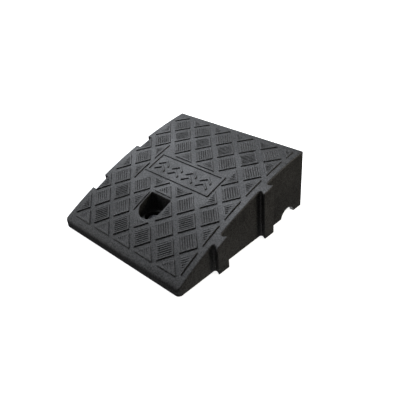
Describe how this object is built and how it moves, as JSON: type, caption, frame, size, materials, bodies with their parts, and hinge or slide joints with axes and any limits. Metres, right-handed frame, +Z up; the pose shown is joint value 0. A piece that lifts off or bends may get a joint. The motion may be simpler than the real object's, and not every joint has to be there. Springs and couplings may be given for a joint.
{
  "type": "kerb ramp module",
  "caption": "Wedge-shaped kerb ramp module with a curved tread deck, interlocking side dovetails, a drain tunnel, grip pads and a screw-down bolt.",
  "frame": {"origin": "centre of the footprint, side wall to side wall and nose to the top edge of the kerb face, on the ground", "axes": "+Z up, +Y towards the kerb and the high end, +X towards the side with the dovetail lugs"},
  "size_m": [0.26, 0.261, 0.0915],
  "materials": {
    "moulded_plastic": "matte, fine moulded grain",
    "pad_rubber": "matte",
    "bolt_steel": "black oxide",
    "washer_steel": "black oxide"
  },
  "bodies": {
    "ramp": {"ramp_body": "moulded_plastic", "grip_pad_front_left": "pad_rubber", "grip_pad_front_right": "pad_rubber", "grip_pad_back_left": "pad_rubber", "grip_pad_back_right": "pad_rubber"},
    "washers": {"spring_washer": "washer_steel", "flat_washer": "washer_steel"},
    "bolt": {"hex_bolt": "bolt_steel"}
  },
  "joints": [
    {"name": "bolt_travel", "type": "slide", "parent": "ramp", "child": "washers", "axis": [0, 0, 1], "range_m": [-0.0092, 0]},
    {"name": "bolt_turn", "type": "hinge", "parent": "washers", "child": "bolt", "pos_m": [0, -0.0572, 0.01], "axis": [0, 0, 1], "range_deg": [-2210, 0]}
  ],
  "couplings": [
    {"joint": "bolt_turn", "follows": "bolt_travel", "rad_per_m": 4188.8}
  ]
}
